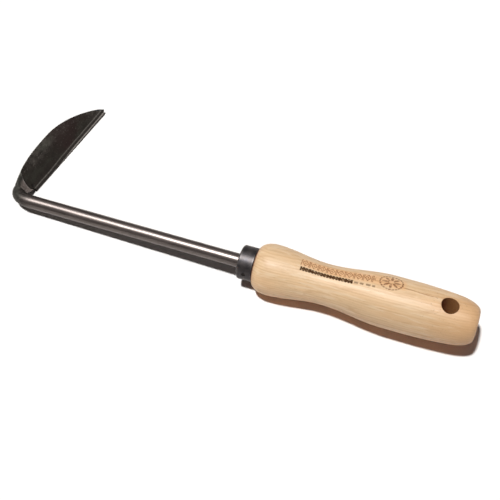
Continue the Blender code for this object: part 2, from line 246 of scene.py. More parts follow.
# ==========================================================================
# Node helpers: small expressions of sockets and numbers
# ==========================================================================
class Nodes:
    def __init__(self, name, base=(0.5, 0.5, 0.5), metallic=0.0, rough=0.5):
        self.mat = bpy.data.materials.new(name)
        self.mat.use_nodes = True
        self.t = self.mat.node_tree
        self.bsdf = self.t.nodes["Principled BSDF"]
        self.bsdf.inputs["Base Color"].default_value = (*base, 1.0)
        self.bsdf.inputs["Metallic"].default_value = metallic
        self.bsdf.inputs["Roughness"].default_value = rough
        self.mat.diffuse_color = (*base, 1.0)

    def put(self, sock, value):
        if isinstance(value, bpy.types.NodeSocket):
            self.t.links.new(value, sock)
        elif value is not None:
            if hasattr(sock.default_value, "__len__"):
                n = len(sock.default_value)
                if not hasattr(value, "__len__"):
                    value = (value,) * n
                value = tuple(value)[:n]
                if len(value) < n:
                    value = value + (1.0,) * (n - len(value))
                sock.default_value = value
            else:
                sock.default_value = value

    def math(self, op, a, b=None, c=None, clamp=False):
        n = self.t.nodes.new("ShaderNodeMath")
        n.operation = op
        n.use_clamp = clamp
        for i, v in enumerate((a, b, c)):
            if v is not None:
                self.put(n.inputs[i], v)
        return n.outputs[0]

    def add(self, a, b): return self.math("ADD", a, b)
    def sub(self, a, b): return self.math("SUBTRACT", a, b)
    def mul(self, a, b): return self.math("MULTIPLY", a, b)
    def div(self, a, b): return self.math("DIVIDE", a, b)
    def mn(self, a, b): return self.math("MINIMUM", a, b)
    def mx(self, a, b): return self.math("MAXIMUM", a, b)
    def absv(self, a): return self.math("ABSOLUTE", a)
    def inv(self, a): return self.math("SUBTRACT", 1.0, a)
    def power(self, a, b): return self.math("POWER", a, b)

    def step(self, x, a, b):
        """smooth 0 at a to 1 at b (a may be above b)."""
        n = self.t.nodes.new("ShaderNodeMapRange")
        n.interpolation_type = "SMOOTHSTEP"
        self.put(n.inputs["Value"], x)
        if a <= b:
            n.inputs["From Min"].default_value, n.inputs["From Max"].default_value = a, b
            n.inputs["To Min"].default_value, n.inputs["To Max"].default_value = 0.0, 1.0
        else:
            n.inputs["From Min"].default_value, n.inputs["From Max"].default_value = b, a
            n.inputs["To Min"].default_value, n.inputs["To Max"].default_value = 1.0, 0.0
        return n.outputs["Result"]

    def remap(self, x, a, b, c, d):
        n = self.t.nodes.new("ShaderNodeMapRange")
        n.clamp = True
        self.put(n.inputs["Value"], x)
        n.inputs["From Min"].default_value, n.inputs["From Max"].default_value = a, b
        n.inputs["To Min"].default_value, n.inputs["To Max"].default_value = c, d
        return n.outputs["Result"]

    def band(self, x, lo, hi, soft):
        """1 between lo and hi with soft flanks."""
        return self.mul(self.step(x, lo - soft, lo + soft), self.step(x, hi + soft, hi - soft))

    def attr(self, name):
        n = self.t.nodes.new("ShaderNodeAttribute")
        n.attribute_name = name
        return n.outputs["Vector"]

    def split(self, v):
        n = self.t.nodes.new("ShaderNodeSeparateXYZ")
        self.put(n.inputs[0], v)
        return n.outputs[0], n.outputs[1], n.outputs[2]

    def vec(self, x, y, z):
        n = self.t.nodes.new("ShaderNodeCombineXYZ")
        for i, v in enumerate((x, y, z)):
            self.put(n.inputs[i], v)
        return n.outputs[0]

    def vscale(self, v, s):
        n = self.t.nodes.new("ShaderNodeVectorMath")
        n.operation = "MULTIPLY"
        self.put(n.inputs[0], v)
        self.put(n.inputs[1], s)
        return n.outputs[0]

    def vadd(self, v, s):
        n = self.t.nodes.new("ShaderNodeVectorMath")
        n.operation = "ADD"
        self.put(n.inputs[0], v)
        self.put(n.inputs[1], s)
        return n.outputs[0]

    def noise(self, v, scale=1.0, detail=2.0, rough=0.5, distortion=0.0, colour=False):
        n = self.t.nodes.new("ShaderNodeTexNoise")
        n.noise_dimensions = "3D"
        self.put(n.inputs["Vector"], v)
        n.inputs["Scale"].default_value = scale
        n.inputs["Detail"].default_value = detail
        n.inputs["Roughness"].default_value = rough
        n.inputs["Distortion"].default_value = distortion
        return n.outputs["Color" if colour else "Fac"]

    def voronoi(self, v, scale=1.0, feature="F1", out="Distance", randomness=1.0):
        n = self.t.nodes.new("ShaderNodeTexVoronoi")
        n.feature = feature
        self.put(n.inputs["Vector"], v)
        n.inputs["Scale"].default_value = scale
        n.inputs["Randomness"].default_value = randomness
        return n.outputs[out]

    def mix(self, f, a, b):
        n = self.t.nodes.new("ShaderNodeMix")
        n.data_type = "RGBA"
        n.clamp_factor = True
        self.put(n.inputs["Factor"], f)
        self.put(n.inputs[6], a)
        self.put(n.inputs[7], b)
        return n.outputs[2]

    def mixf(self, f, a, b):
        n = self.t.nodes.new("ShaderNodeMix")
        n.data_type = "FLOAT"
        n.clamp_factor = True
        self.put(n.inputs[0], f)
        self.put(n.inputs[2], a)
        self.put(n.inputs[3], b)
        return n.outputs[0]

    def light_path(self, name):
        return self.t.nodes.new("ShaderNodeLightPath").outputs[name]

    def tint(self, colour, k):
        """colour times a scalar."""
        return self.vscale(colour, self.vec(k, k, k))

    def bump(self, height, strength=1.0, distance=0.1, normal=None):
        """distance in mm."""
        n = self.t.nodes.new("ShaderNodeBump")
        n.inputs["Strength"].default_value = strength
        n.inputs["Distance"].default_value = distance * MM
        self.put(n.inputs["Height"], height)
        if normal is not None:
            self.put(n.inputs["Normal"], normal)
        return n.outputs[0]

    def set(self, **kw):
        names = {"colour": "Base Color", "rough": "Roughness", "metallic": "Metallic", "normal": "Normal",
                 "spec": "Specular IOR Level", "coat": "Coat Weight", "coat_rough": "Coat Roughness",
                 "aniso": "Anisotropic", "tangent": "Tangent", "sheen": "Sheen Weight",
                 "sub": "Subsurface Weight", "sub_radius": "Subsurface Radius", "sub_scale": "Subsurface Scale"}
        for k, v in kw.items():
            self.put(self.bsdf.inputs[names[k]], v)


def srgb(r, g, b):
    def f(c):
        c /= 255.0
        return c / 12.92 if c <= 0.04045 else ((c + 0.055) / 1.055) ** 2.4
    return (f(r), f(g), f(b), 1.0)


# ==========================================================================
# Materials
# ==========================================================================
def ash_material():
    """Turned ash: growth rings cut by the turned surface, pore lines, a sanded
    satin skin, scorched ornament, painted shade at the ferrule joint and a darker bore."""
    n = Nodes("ash_wood", (0.72, 0.50, 0.31), 0.0, 0.45)
    q = n.attr("tool")                      # mm in the tool frame
    x, y, z = n.split(q)
    # the tree's pith runs along the handle, off to one side and a little askew
    wob = n.noise(n.vscale(q, (0.018, 0.05, 0.05)), 1.0, 2.0, 0.5, 0.0, colour=True)
    wx, wy, wz = n.split(wob)
    yy = n.add(n.add(y, 45.0), n.add(n.mul(x, 0.018), n.mul(n.sub(wy, 0.5), 1.6)))
    zz = n.add(n.add(z, 26.0), n.add(n.mul(x, -0.030), n.mul(n.sub(wz, 0.5), 1.6)))
    r = n.math("SQRT", n.add(n.mul(yy, yy), n.mul(zz, zz)))
    r = n.add(r, n.mul(n.sub(n.noise(n.vscale(q, (0.05, 0.30, 0.30)), 1.0, 2.0), 0.5), 0.9))
    ring = n.div(r, 1.55)
    frac = n.math("FRACT", ring)
    cell = n.math("FLOOR", ring)
    per_ring = n.noise(n.vec(n.mul(cell, 3.71), 0.37, 0.0), 1.0, 0.0)
    early = n.mul(n.step(frac, 0.0, 0.16), n.step(frac, 0.62, 0.22))   # porous band of each ring
    # pore lines: short dark dashes along the grain, thick in the early wood
    pores = n.noise(n.vscale(q, (0.16, 3.6, 3.6)), 1.0, 2.0, 0.6)
    pores = n.step(pores, 0.56, 0.70)
    fibre = n.noise(n.vscale(q, (0.10, 5.5, 5.5)), 1.0, 3.0, 0.6)
    streak = n.noise(n.vscale(q, (0.012, 0.42, 0.42)), 1.0, 3.0, 0.55)
    blot = n.noise(n.vscale(q, (0.03, 0.09, 0.09)), 1.0, 2.0, 0.5)

    pale = srgb(222, 190, 150)
    deep = srgb(202, 164, 122)
    tan = srgb(176, 134, 92)
    c = n.mix(n.mul(early, n.remap(per_ring, 0.3, 0.7, 0.15, 0.60)), pale, deep)
    c = n.mix(n.mul(n.mul(pores, n.mixf(early, 0.10, 0.62)), 0.8), c, tan)
    c = n.tint(c, n.remap(streak, 0.3, 0.7, 0.93, 1.05))
    c = n.tint(c, n.remap(fibre, 0.3, 0.7, 0.965, 1.03))
    c = n.mix(n.remap(blot, 0.45, 0.8, 0.0, 0.35), c, srgb(226, 178, 128))
    rear = n.step(n.add(x, n.mul(n.sub(blot, 0.5), 22.0)), -40.0, -6.0)
    c = n.mix(n.mul(rear, 0.55), c, srgb(208, 158, 108))

    # thin late-wood lines, wavy, coming and going; irregular pale streaks between them
    late = n.mul(n.step(frac, 0.11, 0.03), n.remap(per_ring, 0.38, 0.62, 0.0, 1.0))
    late = n.mul(late, n.remap(n.noise(n.vscale(q, (0.06, 0.5, 0.5)), 1.0, 2.0), 0.40, 0.58, 0.0, 1.0))
    c = n.mix(n.mul(late, 0.44), c, srgb(152, 104, 66))
    side = n.step(x, -4.0, -18.0)           # they fade out before the end grain of the butt
    flame = n.noise(n.vadd(n.vscale(q, (0.035, 0.34, 0.34)), (3.0, 8.0, 1.0)), 1.0, 3.0, 0.6, 0.6)
    c = n.mix(n.mul(n.mul(n.step(flame, 0.52, 0.64), side), 0.48), c, srgb(232, 208, 176))
    dull = n.noise(n.vadd(n.vscale(q, (0.05, 0.22, 0.22)), (11.0, 3.0, 6.0)), 1.0, 3.0, 0.6, 0.8)
    c = n.mix(n.mul(n.mul(n.step(dull, 0.54, 0.68), side), 0.32), c, srgb(190, 148, 106))
    # painted bounce light: the lower near side is paler and pinker
    c = n.mix(n.mul(n.step(z, -6.0, -12.0), 0.25), c, srgb(232, 188, 160))

    # painted shade: over the rear half the near side is darker
    c = n.tint(c, n.mixf(n.step(x, -112.0, -85.0), 1.0, n.remap(y, -14.0, -5.0, 0.88, 1.0)))

    # one thin brown grain line along the rear half, high on the near side
    ang = n.math("ARCTAN2", y, z)           # 0 is up, negative is the near side
    arc = n.mul(ang, 15.5)                  # mm round the handle
    lw = n.mul(n.sub(n.noise(n.vscale(q, (0.045, 0.0, 0.0)), 1.0, 2.0), 0.5), 3.0)
    line_y = n.add(n.add(n.mul(n.add(x, 64.9), -0.020), 2.75), lw)
    line = n.mul(n.step(n.absv(n.sub(arc, line_y)), 0.42, 0.08), n.band(x, -66.0, -27.0, 3.0))
    line = n.mul(line, n.step(z, -2.0, 2.0))
    line = n.mul(line, n.remap(n.noise(n.vscale(q, (0.5, 0.5, 0.5)), 1.0, 2.0), 0.35, 0.6, 0.45, 1.0))
    c = n.mix(n.mul(line, 0.75), c, srgb(150, 98, 58))

    # ---- scorched ornament: a frieze of lozenges and bars over a heavy beaded rule ----
    u = n.add(x, 111.2)                     # 0 at the front end of the ornament
    length = 65.2
    edge_n = n.mul(n.sub(n.noise(n.vscale(q, (1.3, 1.3, 1.3)), 1.0, 3.0, 0.6), 0.5), 0.9)
    a = n.add(arc, edge_n)                  # ragged edges, mm
    v = n.sub(a, n.add(3.25, n.mul(u, 0.012)))        # from the frieze's middle line, + towards the far side
    up = n.step(z, 0.0, 4.0)
    burnt_patch = n.noise(n.vscale(q, (0.45, 0.8, 0.8)), 1.0, 3.0, 0.65)
    # heavy beaded rule below, fainter towards its rear end
    beads = n.math("PINGPONG", n.add(u, n.mul(edge_n, 0.6)), 0.95)
    half = n.mixf(n.step(beads, 0.05, 0.42), 0.78, 1.42)
    rv = n.absv(n.sub(a, n.add(-1.78, n.mul(u, 0.006))))
    rule = n.step(n.sub(rv, half), 0.16, -0.16)
    gaps = n.mul(n.inv(n.band(u, 33.8, 34.6, 0.2)), n.inv(n.band(u, 40.4, 41.6, 0.25)))
    dashes = n.mul(n.step(rv, 0.80, 0.55), n.step(n.math("PINGPONG", n.add(u, 0.4), 1.9), 0.35, 0.65))
    rule = n.mul(n.mixf(n.step(u, 33.9, 34.3), rule, n.mul(dashes, 0.62)), n.band(u, 0.6, 47.5, 0.3))
    rule = n.mul(rule, gaps)
    rule = n.mul(rule, n.remap(burnt_patch, 0.30, 0.46, 0.62, 1.0))
    # lozenges with a dot, pairs of upright bars between them
    per = 5.6
    cu = n.absv(n.sub(n.math("MODULO", u, per), per / 2))           # 0 in the middle of a cell
    loz = n.add(n.div(cu, 2.05), n.div(n.absv(v), 2.75))
    frieze = n.mul(n.step(loz, 1.10, 0.98), n.step(loz, 0.60, 0.72))
    frieze = n.mx(frieze, n.step(loz, 0.36, 0.22))
    bars = n.mul(n.step(n.absv(n.sub(cu, 2.42)), 0.34, 0.18), n.step(n.absv(v), 2.9, 2.6))
    frieze = n.mul(n.mx(frieze, bars), n.band(u, 0.0, 46.6, 0.2))
    frieze = n.mul(frieze, n.remap(n.noise(n.vscale(q, (0.9, 1.4, 1.4)), 1.0, 3.0, 0.6), 0.34, 0.56, 0.35, 1.0))
    # a closing sprig: a rosette of petals inside a beaded oval
    ru, rw = n.div(n.sub(u, 56.2), 1.35), n.sub(v, 0.1)
    rr = n.math("SQRT", n.add(n.mul(ru, ru), n.mul(rw, rw)))
    rt = n.math("ARCTAN2", rw, ru)
    petal = n.mul(n.absv(n.math("COSINE", n.mul(rt, 4.0))), 4.4)
    rose = n.step(n.sub(rr, petal), 0.25, -0.35)
    rose = n.mul(rose, n.step(rr, 0.9, 1.4))
    oval = n.mul(n.step(n.absv(n.sub(rr, 5.15)), 0.55, 0.2), n.step(n.absv(n.math("SINE", n.mul(rt, 11.0))), 0.15, 0.5))
    rose = n.mul(n.mx(n.mul(rose, 0.9), oval), n.remap(burnt_patch, 0.32, 0.58, 0.30, 1.0))
    halo = n.mul(n.mul(n.band(v, -3.6, 3.6, 1.0), n.band(u, 0.0, length, 1.5)), up)
    c = n.mix(n.mul(halo, 0.34), c, srgb(226, 166, 108))
    c = n.mix(n.mul(n.mul(frieze, up), 0.86), c, srgb(136, 80, 42))
    c = n.mix(n.mul(n.mul(rose, up), 0.92), c, srgb(112, 62, 30))
    frieze = n.mul(n.mx(frieze, rose), up)
    rule = n.mul(rule, up)
    c = n.mix(n.mul(rule, 0.96), c, srgb(62, 36, 14))

    # ---- end grain: the tight dark arcs of the shoulder and the butt ----
    # painted shade: darker in the joint with the ferrule, fading out over a few mm
    ferrule_joint_shade = n.step(x, -138.7, -139.6)
    c = n.mix(n.mul(ferrule_joint_shade, 0.92), c, srgb(80, 32, 20))
    ferrule_joint_shade_soft = n.step(x, -136.5, -139.6)
    c = n.mix(n.mul(ferrule_joint_shade_soft, 0.22), c, srgb(170, 112, 78))
    # the bore: bare, darker and browner
    hx = n.sub(x, HOLE_X)
    hr = n.math("SQRT", n.add(n.mul(hx, hx), n.mul(y, y)))
    hole = n.step(hr, HOLE_R + 0.16, HOLE_R + 0.04)
    hole_n = n.noise(n.vscale(q, (0.9, 0.9, 2.2)), 1.0, 3.0, 0.6)
    c = n.mix(hole, c, n.mix(n.remap(hole_n, 0.3, 0.7, 0.0, 1.0), srgb(166, 112, 62), srgb(196, 142, 88)))
    dots = n.mul(n.step(n.noise(n.vscale(q, (0.95, 1.15, 1.15)), 1.0, 1.0, 0.5), 0.70, 0.76), n.step(hr, 24.0, 9.0))
    c = n.mix(n.mul(dots, 0.6), c, srgb(122, 78, 48))
    ring_g = n.mul(n.step(hr, HOLE_R + 2.6, HOLE_R + 0.5), n.inv(hole))
    c = n.mix(n.mul(ring_g, 0.16), c, srgb(188, 140, 96))

    rough = n.mixf(hole, n.remap(n.add(fibre, n.mul(pores, 0.2)), 0.3, 0.9, 0.46, 0.62), 0.85)
    rough = n.mixf(n.mx(rule, n.mul(frieze, 0.7)), rough, 0.75)
    hgt = n.add(n.mul(n.inv(pores), 0.55), n.mul(fibre, 0.55))
    hgt = n.sub(hgt, n.mul(early, 0.10))
    hgt = n.sub(hgt, n.mul(n.mx(rule, n.mul(frieze, 0.7)), 1.7))
    burnt = n.mx(rule, n.mul(frieze, 0.7))
    # what the wood throws back on its surroundings is warmer than its own face
    warm = n.mix(n.math("MULTIPLY", n.light_path("Is Diffuse Ray"), 1.0), c, n.vscale(c, (0.88, 0.65, 0.51)))
    n.set(colour=warm, rough=rough, normal=n.bump(hgt, 0.6, 0.09), spec=n.mixf(burnt, 0.34, 0.03),
          coat=n.mixf(burnt, 0.10, 0.0), coat_rough=0.32)
    return n.mat


def ferrule_material():
    """Blackened steel: lathe-turned satin black with a worn rim and faint rubs."""
    n = Nodes("blackened_steel", (0.045, 0.045, 0.05), 0.85, 0.42)
    q = n.attr("tool")
    x, y, z = n.split(q)
    grain = n.noise(n.vscale(q, (7.0, 0.7, 0.7)), 1.0, 3.0, 0.6)       # turning marks
    mott = n.noise(n.vscale(q, (0.35, 0.35, 0.35)), 1.0, 4.0, 0.6)
    speck = n.step(n.noise(n.vscale(q, (2.6, 2.6, 2.6)), 1.0, 2.0, 0.5), 0.66, 0.74)
    r = n.math("SQRT", n.add(n.mul(y, y), n.mul(z, z)))
    front_rim = n.mul(n.step(x, FERRULE_FRONT + 2.0, FERRULE_FRONT + 0.25), n.step(r, FERRULE_R - 2.2, FERRULE_R - 0.5))
    rear_rim = n.step(x, -HANDLE_LEN - 1.5, -HANDLE_LEN - 0.4)
    wear = n.mul(n.mx(front_rim, n.mul(rear_rim, 0.6)), n.remap(mott, 0.35, 0.65, 0.15, 1.0))
    c = n.mix(n.remap(mott, 0.3, 0.7, 0.0, 1.0), srgb(50, 49, 52), srgb(72, 68, 68))
    c = n.mix(n.mul(speck, 0.5), c, srgb(104, 96, 92))
    c = n.mix(n.mul(wear, 0.55), c, srgb(122, 118, 116))
    rough = n.remap(n.add(n.mul(mott, 0.6), n.mul(grain, 0.4)), 0.3, 0.7, 0.36, 0.52)
    n.set(colour=c, metallic=0.8, rough=rough,
          normal=n.bump(n.add(n.mul(grain, 0.5), mott), 0.5, 0.03))
    return n.mat


def pin_material():
    n = Nodes("pin_steel", (0.02, 0.02, 0.02), 0.8, 0.6)
    q = n.attr("tool")
    m = n.noise(n.vscale(q, (1.8, 1.8, 1.8)), 1.0, 3.0, 0.6)
    n.set(colour=n.mix(m, srgb(22, 20, 20), srgb(52, 44, 40)), metallic=0.7,
          rough=n.remap(m, 0.3, 0.7, 0.5, 0.75), normal=n.bump(m, 0.6, 0.05))
    return n.mat


def shank_material():
    """Bright drawn rod; heat-darkened round the bend; scaly where it was
    hammered flat. "path" holds mm along the bar past the start of the bend,
    the angle round it and the share of the way into the flat end."""
    n = Nodes("ground_steel", (0.22, 0.20, 0.19), 1.0, 0.3)
    q = n.attr("tool")
    a = n.attr("path")
    s, ang, flat = n.split(a)
    x, y, z = n.split(q)
    # drawn rod: fine scratches along it, slow tone change, small nicks
    lines = n.noise(n.vec(n.mul(s, 0.05), n.mul(n.math("COSINE", ang), 9.0), n.mul(n.math("SINE", ang), 9.0)),
                    1.0, 3.0, 0.65)
    slow = n.noise(n.vscale(q, (0.05, 0.22, 0.22)), 1.0, 3.0, 0.55)
    nick = n.step(n.noise(n.vscale(q, (0.9, 1.6, 1.6)), 1.0, 2.0, 0.5), 0.68, 0.76)
    fleck = n.noise(n.vscale(q, (1.3, 1.3, 1.3)), 1.0, 3.0, 0.6)
    bright = n.mix(n.remap(slow, 0.3, 0.7, 0.0, 1.0), srgb(100, 94, 92), srgb(114, 107, 104))
    bright = n.tint(bright, n.remap(lines, 0.3, 0.7, 0.82, 1.13))
    bright = n.tint(bright, n.remap(fleck, 0.35, 0.68, 1.06, 0.86))
    bright = n.mix(n.mul(nick, 0.35), bright, srgb(70, 60, 56))
    # heat tint and scale from the bend on
    hot = n.step(n.add(s, n.mul(n.sub(fleck, 0.5), 5.0)), -7.0, 6.0)
    scale_n = n.noise(n.vscale(q, (0.42, 0.42, 0.42)), 1.0, 4.0, 0.62)
    scale_c = n.mix(n.remap(scale_n, 0.34, 0.66, 0.0, 1.0), srgb(44, 41, 39), srgb(74, 70, 66))
    scale_c = n.mix(n.mul(n.step(fleck, 0.60, 0.72), 0.4), scale_c, srgb(120, 112, 108))
    # grey-green scale on the outside of the flat end, pinker metal beside the joint
    outside = n.mul(n.step(s, 2.0, 6.0), n.step(n.math("COSINE", ang), -0.1, 0.35))
    scale_c = n.mix(n.mul(outside, 0.7), scale_c, srgb(66, 67, 62))
    # painted light: the hammered face is pinkish brown metal, painted lighter where it faces up into the light
    lit_hammered_face = n.mul(n.step(flat, 0.02, 0.22),
                 n.mul(n.step(n.math("COSINE", ang), 0.60, 0.15), n.step(n.math("SINE", ang), -0.1, 0.3)))
    pink = n.mix(n.remap(scale_n, 0.32, 0.68, 0.0, 1.0), srgb(106, 97, 93), srgb(140, 129, 123))
    c = n.mix(hot, bright, scale_c)
    c = n.mix(n.mul(lit_hammered_face, 0.8), c, pink)
    lip = n.step(flat, 0.965, 0.975)
    c = n.mix(n.mul(lip, 0.8), c, srgb(24, 20, 18))
    rough_b = n.remap(n.add(n.mul(lines, 0.7), n.mul(slow, 0.3)), 0.3, 0.7, 0.31, 0.40)
    rough_s = n.remap(scale_n, 0.3, 0.7, 0.38, 0.56)
    rough = n.mixf(hot, rough_b, rough_s)
    b = n.bump(n.add(n.add(lines, n.mul(fleck, 0.6)), n.mul(nick, -1.2)), 0.75, 0.028)
    b = n.bump(n.mul(n.add(scale_n, n.mul(fleck, 0.5)), hot), 0.7, 0.16, b)
    n.set(colour=c, metallic=n.mixf(lit_hammered_face, n.mixf(hot, 1.0, 0.85), 0.25), rough=rough, normal=b)
    return n.mat


def blade_material():
    """Forge-scale black with patches and flecks, a painted highlight along the shoulder where the
    grind starts, coarse grinding marks on the bevel and a bright edge, bare steel with a painted glint.
    "blade" holds (u, w, n) in the blade frame, mm."""
    n = Nodes("forged_steel", (0.035, 0.032, 0.03), 0.6, 0.5)
    q = n.attr("blade")
    u, w, t = n.split(q)
    big = n.noise(n.vscale(q, (0.055, 0.10, 0.10)), 1.0, 3.0, 0.55, 0.6)
    big2 = n.noise(n.vadd(n.vscale(q, (0.040, 0.09, 0.09)), (7.3, 2.1, 0.0)), 1.0, 2.0, 0.5, 0.4)
    mid = n.noise(n.vscale(q, (0.30, 0.36, 0.36)), 1.0, 4.0, 0.62)
    fine = n.noise(n.vscale(q, (1.7, 1.7, 1.7)), 1.0, 3.0, 0.65)
    fleck = n.step(n.noise(n.vscale(q, (0.9, 2.0, 2.0)), 1.0, 2.0, 0.5), 0.64, 0.73)

    g = n.attr("grind")                     # (past the shoulder, short of the tip, past the root end), mm
    d, short, past = n.split(g)
    c = n.mix(n.remap(mid, 0.32, 0.68, 0.0, 1.0), srgb(27, 23, 19), srgb(38, 33, 28))
    # greenish grey patches near the back and over the middle
    green = n.mul(n.step(big, 0.47, 0.62), n.remap(mid, 0.3, 0.7, 0.5, 1.0))
    patch = n.mul(n.step(n.math("SQRT", n.add(n.math("POWER", n.div(n.sub(u, 30.0), 9.0), 2.0),
                                              n.math("POWER", n.div(n.sub(w, 17.0), 3.2), 2.0))), 1.25, 0.35),
                  n.remap(mid, 0.3, 0.6, 0.5, 1.0))
    c = n.mix(n.mul(green, 0.55), c, srgb(46, 47, 40))
    c = n.mix(n.mul(patch, 0.70), c, srgb(74, 75, 66))
    back = n.mul(n.mul(n.mx(n.step(w, 10.0, 16.0), n.step(u, 62.0, 74.0)), n.step(u, 4.0, 15.0)),
                 n.remap(mid, 0.34, 0.60, 0.0, 1.0))
    c = n.mix(n.mul(back, 0.52), c, srgb(80, 75, 71))
    # purple-brown oxide further out
    purple = n.mul(n.step(u, 26.0, 42.0), n.step(u, 78.0, 58.0))
    purple = n.mul(purple, n.step(big2, 0.34, 0.54))
    c = n.mix(n.mul(purple, 0.6), c, srgb(40, 25, 24))
    # flecks of bare metal, more of them towards the tip
    near_tip = n.mx(n.remap(u, 8.0, 70.0, 0.2, 1.0), n.mul(n.step(w, 11.0, 16.0), 0.7))
    c = n.mix(n.mul(n.mul(fleck, near_tip), 0.62), c, srgb(120, 116, 110))
    worn = n.noise(n.vscale(q, (0.75, 0.85, 0.85)), 1.0, 3.0, 0.6)
    worn = n.mul(n.step(worn, 0.56, 0.68), n.mx(n.step(w, 9.0, 15.0), n.step(u, 48.0, 68.0)))
    c = n.mix(n.mul(worn, 0.42), c, srgb(98, 92, 88))
    c = n.tint(c, n.remap(fine, 0.3, 0.7, 0.82, 1.16))
    # the grind
    top = n.step(t, 0.02, 0.16)
    dash = n.noise(n.vscale(q, (0.8, 0.0, 0.0)), 1.0, 3.0, 0.7)
    # painted highlight along the shoulder of the grind
    painted_ridge_highlight = n.mul(n.mul(n.step(n.absv(n.sub(d, 0.10)), 0.75, 0.15), top), n.remap(dash, 0.34, 0.58, 0.30, 1.0))
    c = n.mix(n.mul(painted_ridge_highlight, 0.66), c, srgb(118, 115, 110))
    bevel = n.mul(n.step(d, -0.05, -0.45), top)
    marks = n.noise(n.vec(n.mul(u, 3.2), n.mul(w, 0.35), 0.0), 1.0, 3.0, 0.7)
    bevel_c = n.mix(n.remap(marks, 0.3, 0.7, 0.0, 1.0), srgb(42, 39, 36), srgb(66, 62, 58))
    c = n.mix(n.mul(bevel, 0.85), c, bevel_c)
    # bright edge over the outer half: bare ground steel, painted brighter as a painted glint
    edge_w = n.mixf(n.step(u, 26.0, 46.0), 0.20, 0.62)
    edge_noise = n.mul(n.sub(n.noise(n.vscale(q, (0.35, 0.0, 0.0)), 1.0, 3.0, 0.6), 0.5), 0.5)
    edge = n.step(n.sub(n.add(w, edge_noise), edge_w), 0.22, -0.12)
    edge = n.mul(edge, n.mixf(n.step(u, 22.0, 44.0), 0.18, 0.85))
    c = n.mix(edge, c, srgb(184, 180, 174))
    # blunt tip: blue-black, sheared
    tip = n.mul(n.step(short, 1.7, 1.2), n.step(d, -0.6, 0.0))
    c = n.mix(n.mul(tip, 0.9), c, srgb(44, 46, 50))
    rough = n.remap(n.add(n.mul(mid, 0.6), n.mul(fine, 0.4)), 0.3, 0.7, 0.52, 0.70)
    rough = n.mixf(n.mul(patch, 0.6), rough, 0.5)
    rough = n.mixf(bevel, rough, n.remap(marks, 0.3, 0.7, 0.42, 0.56))
    rough = n.mixf(edge, rough, 0.40)
    metal = n.mixf(n.mx(painted_ridge_highlight, bevel), 0.0, 0.35)
    metal = n.mixf(edge, metal, 0.45)
    # one small round pit by the root
    pu, pw = n.sub(u, PIT_U), n.sub(w, PIT_W)
    pit = n.step(n.math("SQRT", n.add(n.mul(pu, pu), n.mul(pw, pw))), 1.25, 0.75)
    c = n.mix(n.mul(pit, 0.8), c, srgb(16, 14, 14))
    hb = n.add(n.mul(mid, 0.8), n.mul(fine, 0.35))
    lip = n.step(past, 0.75, 0.35)           # darker where it meets the shank
    c = n.mix(n.mul(lip, 0.85), c, srgb(24, 20, 18))
    metal = n.mul(metal, n.inv(lip))
    hb = n.sub(hb, n.mul(fleck, 0.12))
    b = n.bump(n.mul(hb, n.inv(bevel)), 0.75, 0.13)
    b = n.bump(n.mul(marks, bevel), 0.5, 0.05, b)
    n.set(colour=c, metallic=metal, rough=rough, normal=b, spec=n.mixf(lip, 0.08, 0.0))
    return n.mat


def weld_material():
    n = Nodes("weld_steel", (0.16, 0.14, 0.13), 0.9, 0.5)
    q = n.attr("blade")
    m = n.noise(n.vscale(q, (0.6, 0.9, 0.6)), 1.0, 3.0, 0.6)
    f = n.noise(n.vscale(q, (3.0, 3.0, 3.0)), 1.0, 2.0, 0.6)
    c = n.mix(n.remap(m, 0.3, 0.7, 0.0, 1.0), srgb(78, 68, 64), srgb(134, 122, 114))
    c = n.mix(n.mul(n.step(f, 0.62, 0.72), 0.5), c, srgb(60, 66, 84))
    n.set(colour=c, metallic=0.9, rough=n.remap(m, 0.3, 0.7, 0.36, 0.55), normal=n.bump(n.add(m, f), 0.5, 0.06))
    return n.mat


# ==========================================================================
# Handle
# ==========================================================================
def handle_profile():
    pts = [(-HANDLE_LEN - TENON_LEN, 0.35), (-HANDLE_LEN - TENON_LEN, TENON_R - 0.5),
           (-HANDLE_LEN - TENON_LEN + 0.25, TENON_R - 0.12),
           (-HANDLE_LEN - TENON_LEN + 0.5, TENON_R), (-HANDLE_LEN, TENON_R)]
    xs = []
    n = 34
    for i in range(n):
        a = math.pi / 2 * i / n
        xs.append(X_FRONT - (HANDLE_LEN + X_FRONT) * math.cos(a))
    n = 190
    for i in range(n + 1):
        xs.append(X_FRONT + (-BUTT_ROUND - X_FRONT) * i / n)
    n = 40
    for i in range(1, n + 1):
        xs.append(-BUTT_ROUND + BUTT_ROUND * math.sin(math.pi / 2 * i / n))
    pts += [(x, handle_radius(x)) for x in xs]
    pts += [(0.0, R_BUTT_FLAT * k) for k in (0.92, 0.7, 0.4, 0.05)]
    return pts


v, f = lathe(handle_profile(), 168, False)
wood = ash_material()
handle = build("handle_wood", tool_to_row(v), f, wood, 38.0)

# bore for the tang
a0, a1 = rod_point(-HANDLE_LEN - TENON_LEN - 5.0), rod_point(TANG_END + 3.0)
dvec = (a1 - a0).normalized()
e1 = dvec.cross(Vector((0, 0, 1))).normalized()
e2 = dvec.cross(e1)
ring = [(ROD_R + GAP) * (e1 * math.cos(2 * math.pi * s / 64) + e2 * math.sin(2 * math.pi * s / 64)) for s in range(64)]
v = [tuple(a0 + q) for q in ring] + [tuple(a1 + q) for q in ring]
f = rings_to_faces(2, 64) + [tuple(range(64)), tuple(range(64, 128))]
c_tang = build("cut_tang", tool_to_row(v), f, None)

# hanging hole: a spool whose mouth rolls over onto the turned surface
NS, NR = 96, 9
v = []


def surf_z(x, y):
    r = handle_radius(x)
    return math.sqrt(max(0.0, r * r - y * y))


